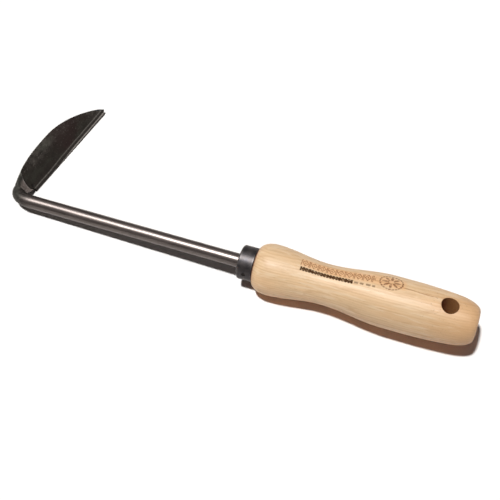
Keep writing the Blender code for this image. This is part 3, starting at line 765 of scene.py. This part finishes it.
rows = []
for sign in (-1, 1):
    block = []
    for i in range(NR + 1):
        b = math.pi / 2 * i / NR                       # 0 in the wall, 90 deg on the surface
        rad = HOLE_R + HOLE_LIP * (1 - math.cos(b))
        ringp = []
        for s in range(NS):
            t = 2 * math.pi * s / NS
            zx, zy = HOLE_X + (HOLE_R + HOLE_LIP) * math.cos(t), (HOLE_R + HOLE_LIP) * math.sin(t)
            zt = surf_z(zx, zy)
            ringp.append((HOLE_X + rad * math.cos(t), rad * math.sin(t),
                          sign * (zt + 0.04 - HOLE_LIP * (1 - math.sin(b)))))
        block.append(ringp)
    block.append([(HOLE_X + (HOLE_R + HOLE_LIP) * math.cos(2 * math.pi * s / NS),
                   (HOLE_R + HOLE_LIP) * math.sin(2 * math.pi * s / NS), sign * 22.0) for s in range(NS)])
    rows.append(block)
order = list(reversed(rows[0])) + rows[1]
v = [q for r_ in order for q in r_]
f = rings_to_faces(len(order), NS) + [tuple(range(NS)), tuple((len(order) - 1) * NS + s for s in range(NS))]
c_hole = build("cut_hanging", tool_to_row(v), f, None)


def pin_frame():
    out = Vector((0.0, -math.cos(math.radians(PIN_ELEV)), math.sin(math.radians(PIN_ELEV))))
    s1 = Vector((1, 0, 0))
    return out, s1, out.cross(s1)


def pin_tube(prof, steps=40):
    """prof of (distance from the axis, radius)."""
    out, s1, s2 = pin_frame()
    v = [tuple(Vector((PIN_X, 0, 0)) + out * d + (s1 * math.cos(2 * math.pi * k / steps)
         + s2 * math.sin(2 * math.pi * k / steps)) * r) for d, r in prof for k in range(steps)]
    f = rings_to_faces(len(prof), steps)
    f += [tuple(range(steps)), tuple((len(prof) - 1) * steps + k for k in range(steps))]
    return tool_to_row(v), f


v, f = pin_tube([(PIN_IN - GAP, PIN_R + GAP), (15.0, PIN_R + GAP)])
c_pin = build("cut_pin", v, f, None)
for c_ in (c_tang, c_hole, c_pin):
    cut(handle, c_)
bake_modifiers(handle)
handle.data.set_sharp_from_angle(angle=math.radians(38.0))

# ==========================================================================
# Ferrule
# ==========================================================================
inner = FERRULE_R - FERRULE_WALL
back = -HANDLE_LEN - GAP
bore_r = ROD_R + GAP + 0.12
prof = [(FERRULE_FRONT + 0.25, bore_r), (FERRULE_FRONT + 0.07, bore_r + 0.08), (FERRULE_FRONT, bore_r + 0.28)]
for k in range(1, 6):
    prof.append((FERRULE_FRONT, bore_r + 0.28 + (FERRULE_R - FERRULE_ROUND - bore_r - 0.28) * k / 6))
for i in range(13):
    a = math.pi / 2 * i / 12
    prof.append((FERRULE_FRONT + FERRULE_ROUND * (1 - math.cos(a)),
                 FERRULE_R - FERRULE_ROUND + FERRULE_ROUND * math.sin(a)))
for k in range(1, 12):
    prof.append((FERRULE_FRONT + FERRULE_ROUND + (back - 0.35 - FERRULE_FRONT - FERRULE_ROUND) * k / 12, FERRULE_R))
for i in range(7):
    a = math.pi / 2 * i / 6
    prof.append((back - 0.35 + 0.35 * math.sin(a), FERRULE_R - 0.35 + 0.35 * math.cos(a)))
prof += [(back, inner + 0.15), (back - 0.15, inner), (FERRULE_FRONT + FERRULE_CAP, inner),
         (FERRULE_FRONT + FERRULE_CAP, bore_r)]
v, f = lathe(prof, 144, True)
ferrule = build("ferrule_cap", tool_to_row(v), f, ferrule_material(), 40.0)
cut(ferrule, c_pin)
bake_modifiers(ferrule)
ferrule.data.set_sharp_from_angle(angle=math.radians(40.0))
drop(c_tang, c_hole, c_pin)

prof = [(PIN_IN, PIN_R * 0.7), (PIN_IN + 0.3, PIN_R), (9.9, PIN_R)]
for i in range(1, 8):                                   # a slightly domed, peened end
    a = math.pi / 2 * i / 8
    prof.append((10.45 + 0.42 * math.sin(a), PIN_R * (0.35 + 0.65 * math.cos(a))))
v, f = pin_tube(prof)
pin = build("ferrule_cross_pin", v, f, pin_material(), 45.0)

for ob in (handle, ferrule, pin):
    vec_attr(ob, "tool", row_to_tool(coords(ob)))

# ==========================================================================
# Shank
# ==========================================================================
P0, P1 = to_world(rod_point(TANG_END)), to_world(rod_point(BEND_START))
T0 = (P1 - P0).normalized()
NECK = bpt(NECK_U, NECK_W, NECK_N)


def bez(a, b, c, e, t):
    s = 1 - t
    return a * s ** 3 + b * (3 * s * s * t) + c * (3 * s * t * t) + e * t ** 3


SEG = 112
path = [(P0, 0.60), (P0 + T0 * 0.35, 0.74), (P0 + T0 * 0.9, 0.87), (P0 + T0 * 1.7, 0.96), (P0 + T0 * 2.6, 1.0)]
NSTR = 150
for i in range(1, NSTR + 1):
    path.append(((P0 + T0 * 2.6).lerp(P1, i / NSTR), 1.0))
N_STRAIGHT = len(path)
NB = 56
for i in range(1, NB + 1):
    path.append((bez(P1, P1 + T0 * BEND_R, NECK - DU * BEND_R * 0.75, NECK, i / NB), 1.0))
cent = [q_[0] for q_ in path]
verts, pathattr = [], []
dist = -(P1 - P0).length
rings = []
for i, (c_, sc) in enumerate(path):
    if i:
        dist += (cent[i] - cent[i - 1]).length
    if i < N_STRAIGHT:
        t = T0
    elif i == len(path) - 1:
        t = DU
    else:
        t = ((cent[i] - cent[i - 1]).normalized() + (cent[i + 1] - cent[i]).normalized()).normalized()
    up_i = TOOL_UP.lerp(DN, smooth((i - N_STRAIGHT + 1) / NB))
    nn = (up_i - t * up_i.dot(t)).normalized()
    ss = nn.cross(t).normalized()
    k = max(0.0, (i - N_STRAIGHT) / NB)
    for s in range(SEG):
        a = 2 * math.pi * s / SEG
        d_ = ss * math.cos(a) + nn * math.sin(a)
        pt = c_ + d_ * (ROD_R * sc)
        if k > 0:                                       # hammer and tong marks on the hot part
            pt += d_ * (0.13 * smooth(k * 2.0) * fbm(pt, 0.30, 3) - 0.04 * smooth(k * 2.0))
        verts.append(tuple(pt))
        pathattr.append((dist, a, 0.0))
NP = 44
for i in range(1, NP + 1):
    k = i / NP
    outer = (NECK_W + ROD_R) + (PADDLE_W1 - NECK_W - ROD_R) * k
    inner_w = (NECK_W - ROD_R) + (PADDLE_W0 - NECK_W + ROD_R) * smooth(k)
    half_t = ROD_R + (PADDLE_T / 2 - ROD_R) * (1 - (1 - k) ** 1.8)
    nc = NECK_N + (PADDLE_T / 2 - NECK_N) * smooth(k)
    q_ = 2.0 + 4.0 * smooth(k)
    for s in range(SEG):
        ca, sa = math.cos(2 * math.pi * s / SEG), math.sin(2 * math.pi * s / SEG)
        w = (outer + inner_w) / 2 + ca * (outer - inner_w) / 2
        nv = nc + math.copysign(max(0.0, 1 - abs(ca) ** q_) ** (1 / q_), sa) * half_t
        u = NECK_U + (root_u(w) - GAP - NECK_U) * k
        pt = bpt(u, w, nv)
        if i < NP:
            amp = 0.16 * (1 - k) + 0.05
            pt += DN * math.copysign(1.0, sa) * (amp * fbm(pt, 0.30, 3) - 0.05)
        verts.append(tuple(pt))
        pathattr.append((dist + (u - NECK_U), 2 * math.pi * s / SEG, k))
nr = len(verts) // SEG
f = rings_to_faces(nr, SEG)
f.append(tuple(range(SEG)))
base = (nr - 1) * SEG
for s in range(SEG // 2):
    quad = [base + s, base + s + 1, base + (SEG - s - 1) % SEG, base + (SEG - s) % SEG]
    f.append(tuple(dict.fromkeys(quad)))
shank_v = np.array(verts)


def build_keep(name, verts, faces, mat, angle):
    """like build, but keeps the vertex order."""
    me = bpy.data.meshes.new(name)
    me.from_pydata((np.asarray(verts, float) * MM).tolist(), [], faces)
    bm = bmesh.new()
    bm.from_mesh(me)
    bmesh.ops.recalc_face_normals(bm, faces=bm.faces[:])
    bm.to_mesh(me)
    bm.free()
    ob = bpy.data.objects.new(name, me)
    scene.collection.objects.link(ob)
    me.materials.append(mat)
    me.shade_smooth()
    me.set_sharp_from_angle(angle=math.radians(angle))
    return ob


shank = build_keep("shank_rod", shank_v, f, shank_material(), 40.0)
vec_attr(shank, "path", pathattr)
vec_attr(shank, "tool", row_to_tool(shank_v))

# ==========================================================================
# Blade: cross-sections lofted from the root end to the blunt tip
# ==========================================================================
U_BACK0, U_BACK1 = root_u(BACK_CORNER_W), TIP_CUT_U
W_ROOT, W_TIP = back_width(U_BACK0), back_width(TIP_CUT_U)
EDGE_U0, EDGE_U1 = root_u(0.0), tip_u(0.0)


def station(s, w_share):
    """(u, w) of the plate outline at station s (0 root, 1 tip), share of width."""
    ub = U_BACK0 + (U_BACK1 - U_BACK0) * s
    wb = back_width(ub)
    ue = EDGE_U0 + (EDGE_U1 - EDGE_U0) * s
    u = ue + (ub - ue) * w_share
    w = wb * w_share
    # the root end's rounded corner, fading out within a few mm
    w0 = W_ROOT * w_share
    lin = EDGE_U0 + (U_BACK0 - EDGE_U0) * w_share
    u += (root_u(w0) - lin) * (1 - s) ** 22
    # and the blunt tip's worn corner
    w1 = W_TIP * w_share
    lin = EDGE_U1 + (U_BACK1 - EDGE_U1) * w_share
    u += (tip_u(w1) - lin) * s ** 26
    return u, w


def grind_width(u):
    """the shoulder of the grind wanders and widens towards the tip."""
    return 2.15 + 0.5 * smooth((u - 14.0) / 24.0) + 0.22 * fbm((u, 0, 0), 0.09, 2, (3.1, 0, 0))


def grind_height(w, gw):
    """hollow-ground bevel: flat towards the edge, steep at the shoulder."""
    k = min(1.0, max(0.0, w / gw))
    lin = EDGE_LAND + (BLADE_T - EDGE_LAND) * k
    hollow = 0.26 * math.sin(math.pi * k) * (1 - 0.25 * k)
    return lin - hollow * 0.9


NSB = 300
stations = []
for i in range(NSB + 1):
    stations.append(i / NSB)
TOPN, BOTN = 70, 40
ROUND = 0.34
verts, bl = [], []


def section(s, inset=0.0, shrink=0.0):
    """closed loop of (u, w, n). inset is not used; shrink moves the boundary in for the rounded ends."""
    ub, wb = station(s, 1.0)
    loop = []
    # top: from the edge to the back
    ws = []
    gw_share = GRIND_W / wb
    for i in range(24):
        ws.append(gw_share * i / 24)
    for i in range(TOPN - 24):
        k = i / (TOPN - 25)
        ws.append(gw_share + (1 - ROUND / wb - gw_share) * k)
    for sh in ws:
        u, w = station(s, sh)
        gw = grind_width(u)
        nn_ = grind_height(w, gw) if w < gw else BLADE_T
        loop.append([u, w, nn_, 1])
    # rounded back
    for i in range(1, 10):
        a = math.pi / 2 * i / 10
        u, w = station(s, 1 - (ROUND - ROUND * math.sin(a)) / wb)
        loop.append([u, w, BLADE_T - ROUND + ROUND * math.cos(a), 1])
    for i in range(1, 10):
        a = math.pi / 2 * i / 10
        u, w = station(s, 1 - (ROUND - ROUND * math.cos(a)) / wb)
        loop.append([u, w, ROUND - ROUND * math.sin(a), 0])
    for i in range(BOTN):
        k = i / (BOTN - 1)
        u, w = station(s, (1 - ROUND / wb) * (1 - k))
        loop.append([u, w, 0.0, 0])
    out = []
    mid_n = BLADE_T / 2
    for u, w, nn_, topside in loop:
        if shrink > 0:
            lo, hi = 0.0, BLADE_T
            nn_ = min(nn_, BLADE_T - shrink) if nn_ > mid_n else max(nn_, min(shrink, 0.12))
            w = min(w, wb - shrink)
        out.append((u, w, nn_))
    return out


loops = []
# rounded root end
LIP = 0.28
for i in range(0, 5):
    a = math.pi / 2 * i / 5
    sh = LIP * (1 - math.sin(a))
    off = LIP * (1 - math.cos(a))
    lp = section(0.0, shrink=sh)
    loops.append([(u + off, w, nn_) for u, w, nn_ in lp])
u_shift0 = LIP
for s in stations:
    lp = section(s)
    ub = 0.0
    # keep clear of the lips at both ends
    loops.append([(u + LIP * (1 - s) ** 60 - LIP * s ** 60, w, nn_) for u, w, nn_ in lp])
for i in range(4, -1, -1):
    a = math.pi / 2 * i / 5
    sh = LIP * (1 - math.sin(a))
    off = LIP * (1 - math.cos(a))
    lp = section(1.0, shrink=sh)
    loops.append([(u - off, w, nn_) for u, w, nn_ in lp])
M = len(loops[0])
for li, lp in enumerate(loops):
    for u, w, nn_ in lp:
        # hammered, slightly uneven plate; the edge and the rims stay true
        if nn_ > BLADE_T * 0.9 and w > grind_width(u) + 0.3:
            k = smooth((w - GRIND_W - 0.5) / 1.6) * smooth((u + 2.0) / 3.0)
            rim = smooth((back_width(min(TIP_CUT_U, max(U_BACK0, u))) - w) / 1.2)
            nn_ += k * (0.05 + 0.95 * rim) * (0.085 * fbm((u, w, 0), 0.13, 3, (1.7, 4.1, 0))
                                             + 0.030 * fbm((u, w, 0), 0.55, 2, (9.0, 2.0, 0)) - 0.05)
            dp = math.hypot(u - PIT_U, w - PIT_W)      # punched pit by the root
            if dp < 1.3:
                nn_ -= 0.32 * smooth((1.3 - dp) / 0.7)
        bl.append((u, w, nn_))
bl = np.array(bl)
E0n = np.array(E0)
verts = bl @ BLADE + E0n
f = rings_to_faces(len(loops), M)
# end faces in strips between the upper and the lower side of the loop
TOPC = TOPN + 9                                       # points on the upper side, up to mid-thickness


def end_strip(base):
    a, b = 0, M - 1
    faces = []
    top = list(range(0, TOPN + 9))
    bot = list(range(M - 1, TOPN + 8, -1))
    i = j = 0
    while i < len(top) - 1 or j < len(bot) - 1:
        wi = bl[base + top[min(i + 1, len(top) - 1)]][1] if i < len(top) - 1 else 1e9
        wj = bl[base + bot[min(j + 1, len(bot) - 1)]][1] if j < len(bot) - 1 else 1e9
        if wi <= wj and i < len(top) - 1:
            faces.append((base + top[i], base + top[i + 1], base + bot[j]))
            i += 1
        else:
            faces.append((base + bot[j], base + bot[j + 1], base + top[i]))
            j += 1
    return faces


f += end_strip(0)
f += end_strip((len(loops) - 1) * M)
blade = build_keep("blade_plate", verts, f, blade_material(), 30.0)
vec_attr(blade, "blade", bl)
vec_attr(blade, "grind", [(w - grind_width(u), tip_u(min(w, W_TIP)) - u, u - root_u(w)) for u, w, _ in bl])

# ==========================================================================
# Weld bead under the joint: overlapping ripples
# ==========================================================================
W_A, W_B, BEAD_R = 4.6, 13.4, 1.1
NW, NC = 110, 40
verts, bl2 = [], []
for i in range(NW + 1):
    k = i / NW
    w = W_A + (W_B - W_A) * k
    env = 0.30 + 0.70 * math.sqrt(max(0.0, 1 - abs(2 * k - 1) ** 4))
    ripple = (k * 11.0) % 1.0
    r = BEAD_R * env * (0.90 + 0.10 * math.sin(math.pi * ripple) ** 0.6)
    uc, ncn = root_u(w) - GAP / 2, -GAP - BEAD_R
    for s in range(NC):
        a = 2 * math.pi * s / NC
        wo = w + 0.35 * math.cos(a) ** 2                # crescent ripples
        u = uc + 1.5 * r * math.cos(a) * (1 + 0.04 * fbm((w, a, 0), 0.9, 2))
        nv = ncn + r * math.sin(a)
        bl2.append((u, min(wo, W_B + 0.2), nv))
        verts.append(tuple(E0 + DU * u + DW * min(wo, W_B + 0.2) + DN * nv))
f = rings_to_faces(NW + 1, NC) + [tuple(range(NC)), tuple(NW * NC + s for s in range(NC))]
weld = build_keep("weld_seam", np.array(verts), f, weld_material(), 50.0)
vec_attr(weld, "blade", bl2)

for ob, node, slot in ((handle, "handle", "ash_wood"), (ferrule, "ferrule", "blackened_steel"),
                       (pin, "ferrule_pin", "pin_steel"), (shank, "shank", "ground_steel"),
                       (blade, "blade", "forged_steel"), (weld, "weld_bead", "weld_steel")):
    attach(ob, "root")
    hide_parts(node)

# ==========================================================================
# Stage: white floor, nearly overhead key, strip behind, low fill
# ==========================================================================
fm = Nodes("floor_white", (0.93, 0.93, 0.93), 0.0, 0.85)
geo = fm.t.nodes.new("ShaderNodeNewGeometry")
fn = fm.noise(geo.outputs["Position"], 40.0, 3.0, 0.5)
flp = fm.t.nodes.new("ShaderNodeLightPath")
seen = fm.mix(fn, (0.925, 0.925, 0.925, 1), (0.94, 0.94, 0.94, 1))
fm.set(colour=fm.mix(flp.outputs["Is Camera Ray"], (0.88, 0.85, 0.84, 1), seen), rough=0.9, spec=0.1)
me = bpy.data.meshes.new("floor")
S = 3.0
me.from_pydata([(-S, -S, 0), (S, -S, 0), (S, S, 0), (-S, S, 0)], [], [(0, 1, 2, 3)])
me.materials.append(fm.mat)
floor = bpy.data.objects.new("floor", me)
floor.location = (0, 0, FLOOR_Z * MM - 0.00005)
scene.collection.objects.link(floor)

world = bpy.data.worlds.new("world")
scene.world = world
world.use_nodes = True
bg = world.node_tree.nodes["Background"]
bg.inputs[0].default_value = (1.0, 0.87, 0.82, 1.0)
lp = world.node_tree.nodes.new("ShaderNodeLightPath")
wm = world.node_tree.nodes.new("ShaderNodeMapRange")
wm.inputs["To Min"].default_value, wm.inputs["To Max"].default_value = 0.056, 0.24
world.node_tree.links.new(lp.outputs["Is Glossy Ray"], wm.inputs["Value"])
world.node_tree.links.new(wm.outputs[0], bg.inputs[1])
# seen directly, past the floor's far edge, the surroundings are the same pale grey
backdrop = world.node_tree.nodes.new("ShaderNodeBackground")
backdrop.inputs[0].default_value = (0.93, 0.93, 0.93, 1.0)
choose = world.node_tree.nodes.new("ShaderNodeMixShader")
world.node_tree.links.new(lp.outputs["Is Camera Ray"], choose.inputs[0])
world.node_tree.links.new(bg.outputs[0], choose.inputs[1])
world.node_tree.links.new(backdrop.outputs[0], choose.inputs[2])
world.node_tree.links.new(choose.outputs[0], world.node_tree.nodes["World Output"].inputs["Surface"])

CAM_A, CAM_E, FOCAL_PX = math.radians(19.202374), math.radians(58.0), 873.14028
cam_loc = Vector((-50.0336, -270.4582, 468.4609)) * MM
cback = Vector((math.sin(CAM_A) * math.cos(CAM_E), -math.cos(CAM_A) * math.cos(CAM_E), math.sin(CAM_E)))
cright = Vector((math.cos(CAM_A), math.sin(CAM_A), 0.0))
cup = cback.cross(cright)
cam_data = bpy.data.cameras.new("camera")
cam_data.sensor_width = 36.0
cam_data.lens = 36.0 * FOCAL_PX / 500.0
cam_data.clip_start, cam_data.clip_end = 0.01, 20.0
cam = bpy.data.objects.new("camera", cam_data)
cam.matrix_world = Matrix.Translation(cam_loc) @ Matrix((cright, cup, cback)).transposed().to_4x4()
scene.collection.objects.link(cam)
scene.camera = cam

toward = Vector((math.sin(CAM_A), -math.cos(CAM_A), 0.0))       # level, towards the camera


def sun(name, direction, strength, angle, colour=(1, 1, 1)):
    d = bpy.data.lights.new(name, "SUN")
    d.energy, d.angle, d.color = strength, math.radians(angle), colour
    o = bpy.data.objects.new(name, d)
    o.rotation_euler = Vector(direction).normalized().to_track_quat("Z", "Y").to_euler()
    scene.collection.objects.link(o)
    return o


def area(name, loc, target, sx, sy, power, colour=(1, 1, 1), spin=0.0):
    d = bpy.data.lights.new(name, "AREA")
    d.shape, d.size, d.size_y, d.energy, d.color = "RECTANGLE", sx, sy, power, colour
    o = bpy.data.objects.new(name, d)
    o.location = loc
    q = (Vector(loc) - Vector(target)).to_track_quat("Z", "Y")
    o.rotation_euler = (q @ Matrix.Rotation(spin, 3, "Z").to_quaternion()).to_euler()
    scene.collection.objects.link(o)
    return o


key_dir = Vector((-0.20, -0.13, 1.0))
sun("key", key_dir, 3.5, 4.5, (1.0, 0.985, 0.965))

# long strip behind the tool, above it: the line of light along the rod
mid = Vector((-160.0, 6.0, 0.0)) * MM
strip_dir = (Vector((0, 0, 1)) - Vector((0, -1, 0)) * math.tan(math.radians(-2.0))).normalized()
sp = mid + strip_dir * 1.1
strip = area("strip", sp, mid, 2.2, 0.36, 22.0, (1.0, 0.98, 0.97))
strip.visible_diffuse = False
zax = (sp - mid).normalized()
xax = (Vector((1, 0, 0)) - zax * zax.x).normalized()
yax = zax.cross(xax)
strip.rotation_euler = Matrix((xax, yax, zax)).transposed().to_euler()

scene.view_settings.view_transform = "Standard"
scene.view_settings.look = "None"
scene.view_settings.exposure = 0.0
scene.view_settings.gamma = 1.0
